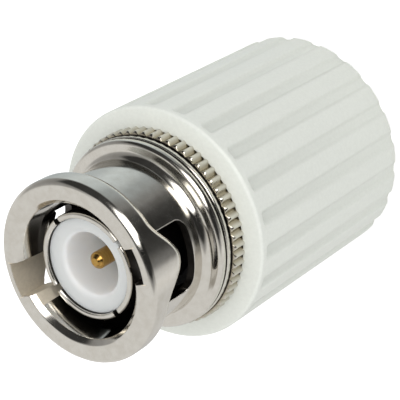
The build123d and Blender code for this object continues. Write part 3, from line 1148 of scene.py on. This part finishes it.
@dataclass
class Tent:
    """A light tent that only mirrors see: a pale dome, a large lamp window and a shaded low ring.

    The low ring is what upright metal walls mirror to a viewer who looks down at them. Each ring
    lists azimuth in degrees and level.
    """

    near_level: float = 0.75
    low_ring: Sequence[Point] = (
        (-150, 0.56), (-125, 0.6), (-97, 0.7), (-57, 0.7), (-37, 0.88), (-27, 0.7), (-17, 0.2), (0, 0.055),
        (20, 0.035), (33, 0.06), (43, 0.13), (53, 0.26), (73, 0.43), (93, 0.67), (113, 0.76), (133, 0.6),
        (153, 0.5), (170, 0.72),
    )
    high_ring: Sequence[Point] = (
        (-150, 0.8), (-48, 0.8), (-38, 0.4), (-26, 0.03), (6, 0.02), (12, 4.0), (48, 4.0), (56, 0.3),
        (66, 0.05), (118, 0.04), (130, 0.3), (155, 0.4), (170, 0.8),
    )
    top_ring: Sequence[Point] = ((-150, 0.8), (-70, 0.8), (-30, 0.1), (80, 0.1), (110, 0.8))
    window_middle: float = 30.0
    window_half: float = 18.0
    window_low: float = 0.45
    window_full: float = 24.0
    near_elevation: float = -50.0
    near_fade: float = 6.0
    low_elevation: float = -26.0
    high_elevation: float = -14.0
    sheet_elevation: float = -6.0
    fade_start: float = 57.0
    fade_end: float = 66.0
    lowest: float = -66.0
    step: float = 2.0
    rows: int = 79
    radius: float = 0.3
    eye_height: float = 0.025
    off_floor: float = 0.0001
    tint: str = "#FFFEFC"
    cool_light: Sequence[float] = (0.93, 1.02, 1.06)
    cool_from: float = 45.0
    cool_to: float = 185.0
    cool_edge: float = 30.0
    cool_fade: float = 12.0

    def place(self, azimuth: float, elevation: float) -> tuple[float, float, float]:
        """Point of the tent in a direction: on its floor sheet below, on its dome above."""
        turn, rise = radians(azimuth), radians(elevation)
        if elevation < self.sheet_elevation:
            reach = self.eye_height / tan(-rise)
            return reach * cos(turn), reach * sin(turn), self.off_floor
        return (
            self.radius * cos(rise) * cos(turn),
            self.radius * cos(rise) * sin(turn),
            max(self.eye_height + self.radius * sin(rise), self.off_floor),
        )

    @staticmethod
    def around(ring: Sequence[Point], azimuth: float) -> float:
        """Level of a ring at an azimuth, eased between its stops."""
        first = ring[0]
        turned = (azimuth - first[0]) % 360 + first[0]
        stops = [*ring, (first[0] + 360, first[1])]
        (a, level_a), (b, level_b) = next(pair for pair in zip(stops, stops[1:]) if turned <= pair[1][0])
        return level_a + (level_b - level_a) * smooth((turned - a) / (b - a))

    def brightness(self, azimuth: float, elevation: float) -> float:
        """Brightness of the tent in a direction, with the lamp window narrower low down."""
        low = self.around(self.low_ring, azimuth)
        aside = (azimuth - self.window_middle + 180) % 360 - 180
        opening = smooth((elevation - self.high_elevation) / (self.window_full - self.high_elevation))
        spread = self.window_low + (1 - self.window_low) * opening
        if abs(aside) < self.window_half * spread:
            reach = aside / spread
        else:
            reach = aside + copysign(self.window_half - self.window_half * spread, aside)
        high = self.around(self.high_ring, self.window_middle + reach)
        rise = smooth((elevation - self.low_elevation) / (self.high_elevation - self.low_elevation))
        fade = smooth((elevation - self.fade_start) / (self.fade_end - self.fade_start))
        near = smooth((self.near_elevation - elevation) / self.near_fade)
        side = low * (1 - rise) + high * rise
        side = side * (1 - near) + self.near_level * near
        return side * (1 - fade) + self.around(self.top_ring, azimuth) * fade

    def colour(self, azimuth: float, elevation: float) -> list[float]:
        """Colour of the tent in a direction: cooler low down between two azimuths, warm elsewhere."""
        cool = smooth((azimuth - self.cool_from) / self.cool_edge)
        cool *= smooth((self.cool_to - azimuth) / self.cool_edge)
        cool *= smooth((self.high_elevation - elevation) / self.cool_fade)
        level = self.brightness(azimuth, elevation)
        return [level * tint * (1 + cool * (c - 1)) for tint, c in zip(linear(self.tint), self.cool_light)]

    def build(self) -> None:
        """Builds the tent, seen by reflected rays only."""
        columns = round(360 / self.step)
        elevations = [self.lowest + self.step * i for i in range(self.rows)]
        directions = [(self.step * i, elevation) for i in range(columns) for elevation in elevations]
        faces = []
        for i in range(columns):
            this, after = i * self.rows, (i + 1) % columns * self.rows
            faces += [(this + j, after + j, after + j + 1, this + j + 1) for j in range(self.rows - 1)]
        mesh = bpy.data.meshes.new("tent")
        mesh.from_pydata([self.place(*direction) for direction in directions], [], faces)
        paint = mesh.color_attributes.new("level", "FLOAT_COLOR", "POINT")
        colours = [(*self.colour(*direction), 1.0) for direction in directions]
        paint.data.foreach_set("color", [value for colour in colours for value in colour])
        material, tree = blank_material("tent_cloth")
        level = add_node(tree, "ShaderNodeVertexColor", layer_name="level")
        glow = add_node(tree, "ShaderNodeEmission", {"Color": level.outputs["Color"], "Strength": 1.0})
        add_node(tree, "ShaderNodeOutputMaterial", {"Surface": glow.outputs[0]})
        mesh.materials.append(material)
        tent = to_object("tent", mesh)
        for ray in ("camera", "diffuse", "transmission", "volume_scatter", "shadow"):
            setattr(tent, "visible_" + ray, False)


@dataclass
class Lamp:
    """A square soft lamp that faces the part."""

    name: str = "key"
    azimuth: float = 20.0
    elevation: float = 76.0
    away_m: float = 0.28
    size_m: float = 0.3
    watts: float = 0.52
    aim_m: tuple[float, float, float] = (0, 0, 0.02)

    def build(self) -> None:
        """Adds the lamp, which mirrors don't see."""
        data = bpy.data.lights.new(self.name, "AREA")
        data.shape = "SQUARE"
        data.size = self.size_m
        data.energy = self.watts
        lamp = bpy.data.objects.new(self.name, data)
        lamp.visible_glossy = False
        bpy.context.scene.collection.objects.link(lamp)
        turn, rise = radians(self.azimuth), radians(self.elevation)
        aim = Vector(self.aim_m)
        lamp.location = aim + self.away_m * Vector((cos(rise) * cos(turn), cos(rise) * sin(turn), sin(rise)))
        lamp.rotation_euler = (aim - lamp.location).to_track_quat("-Z", "Y").to_euler()


@dataclass
class Studio:
    """Plain pale floor, a white world, a tent for reflections and one soft lamp."""

    floor_half_m: float = 1.5
    floor_colour: str = "#F4F4F4"
    floor_glow: float = 0.35
    world_strength: float = 0.74

    def floor(self) -> None:
        """Lays the floor under the part. To the camera it is white, with the part's shadow kept."""
        mesh = bpy.data.meshes.new("floor")
        h = self.floor_half_m
        mesh.from_pydata([(-h, -h, 0), (h, -h, 0), (h, h, 0), (-h, h, 0)], [], [(0, 1, 2, 3)])
        material, tree = blank_material("painted_floor")
        paint = add_node(tree, "ShaderNodeBsdfDiffuse", {"Color": linear(self.floor_colour)})
        glow = add_node(tree, "ShaderNodeEmission", {"Color": WHITE, "Strength": self.floor_glow})
        both = add_node(tree, "ShaderNodeAddShader", {0: paint.outputs[0], 1: glow.outputs[0]})
        path = add_node(tree, "ShaderNodeLightPath")
        seen = add_node(
            tree,
            "ShaderNodeMixShader",
            {0: path.outputs["Is Camera Ray"], 1: paint.outputs[0], 2: both.outputs[0]},
        )
        add_node(tree, "ShaderNodeOutputMaterial", {"Surface": seen.outputs[0]})
        mesh.materials.append(material)
        to_object("floor", mesh)

    def world(self) -> None:
        """Sets an even world that the camera and mirrors see as white."""
        world = bpy.data.worlds.new("studio")
        bpy.context.scene.world = world
        world.use_nodes = True
        tree = world.node_tree
        tree.nodes.clear()
        path = add_node(tree, "ShaderNodeLightPath").outputs
        light = add_node(tree, "ShaderNodeBackground", {"Color": WHITE, "Strength": self.world_strength})
        white = add_node(tree, "ShaderNodeBackground", {"Color": WHITE, "Strength": 1.0})
        direct = path["Is Camera Ray"]
        for ray in ("Is Glossy Ray", "Is Transmission Ray"):
            either = add_node(tree, "ShaderNodeMath", {0: direct, 1: path[ray]}, operation="MAXIMUM")
            direct = either.outputs[0]
        seen = add_node(tree, "ShaderNodeMixShader", {0: direct, 1: light.outputs[0], 2: white.outputs[0]})
        add_node(tree, "ShaderNodeOutputWorld", {"Surface": seen.outputs[0]})

    def build(self) -> None:
        """Builds floor, world, tent and lamp."""
        self.floor()
        self.world()
        Tent().build()
        Lamp().build()
        log.info("studio: floor, world, tent and lamp")


def main() -> None:
    """Builds the pieces, the studio and the camera in order."""
    logging.basicConfig(level=logging.INFO, format="%(message)s")
    bpy.context.scene.view_settings.view_transform = "Standard"
    materials = {slot: finish.build() for slot, finish in FINISH_OF_SLOT.items()}
    Hardware(frame["record"]["subparts"]).build(materials)
    Cover().build(materials["cover_plastic"])
    # Plate darkened with painted shade, and milled plate lightened with painted light
    shaded_plate, milled = SHADED_NICKEL.build(), MILLED_LIT_NICKEL.build()
    CouplingSleeve().build(materials["nickel"], shaded_plate, milled)
    OuterContact().build(materials["nickel"], shaded_plate)
    Insulator().build(materials["ptfe"])
    CentrePin().build(materials["gold"])
    Viewpoint().build()
    Studio().build()


if __name__ == "__main__":
    main()
